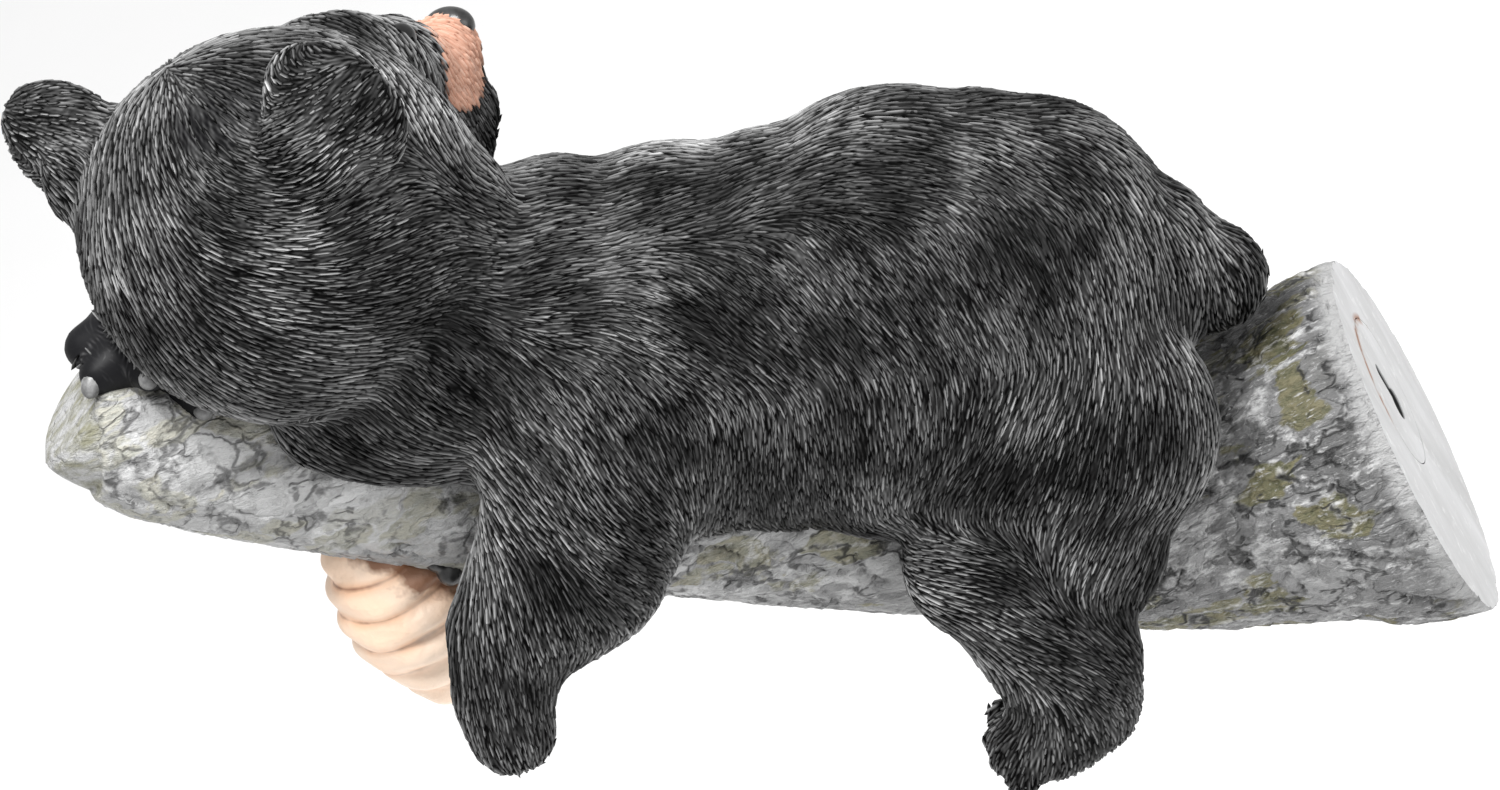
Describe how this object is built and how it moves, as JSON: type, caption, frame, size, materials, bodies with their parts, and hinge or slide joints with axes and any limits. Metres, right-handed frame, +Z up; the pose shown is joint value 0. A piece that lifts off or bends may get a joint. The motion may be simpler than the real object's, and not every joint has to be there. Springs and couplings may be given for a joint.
{
  "type": "hanging resin bear cub statue",
  "caption": "Cast resin bear cub resting along a branch stub with a beehive below, hung on a trunk by a keyhole plug in the branch's flat end face.",
  "frame": {"origin": "middle of the collar's flat end face, which lies against the trunk", "axes": "+X out of the end face into the trunk, +Z up as hung, +Y to the side that the bear looks to; the branch runs towards -X and rises 29 degrees"},
  "size_m": [0.3487, 0.1536, 0.3452],
  "materials": {
    "fur": "satin charcoal paint over carved fur, ridges dry-brushed lighter grey, tan on the muzzle",
    "bare_resin": "bare pale grey resin",
    "bark": "grey bark paint with olive and ochre in its hollows and dark clefts",
    "hive_cream": "cream paint with a brown wash between the coils",
    "claw_grey": "grey claw paint",
    "nose_black": "near-black satin paint on nose, eyes and small claws"
  },
  "bodies": {
    "root": {"bear_on_branch": "fur", "hanger_plug": "bare_resin"}
  },
  "joints": []
}
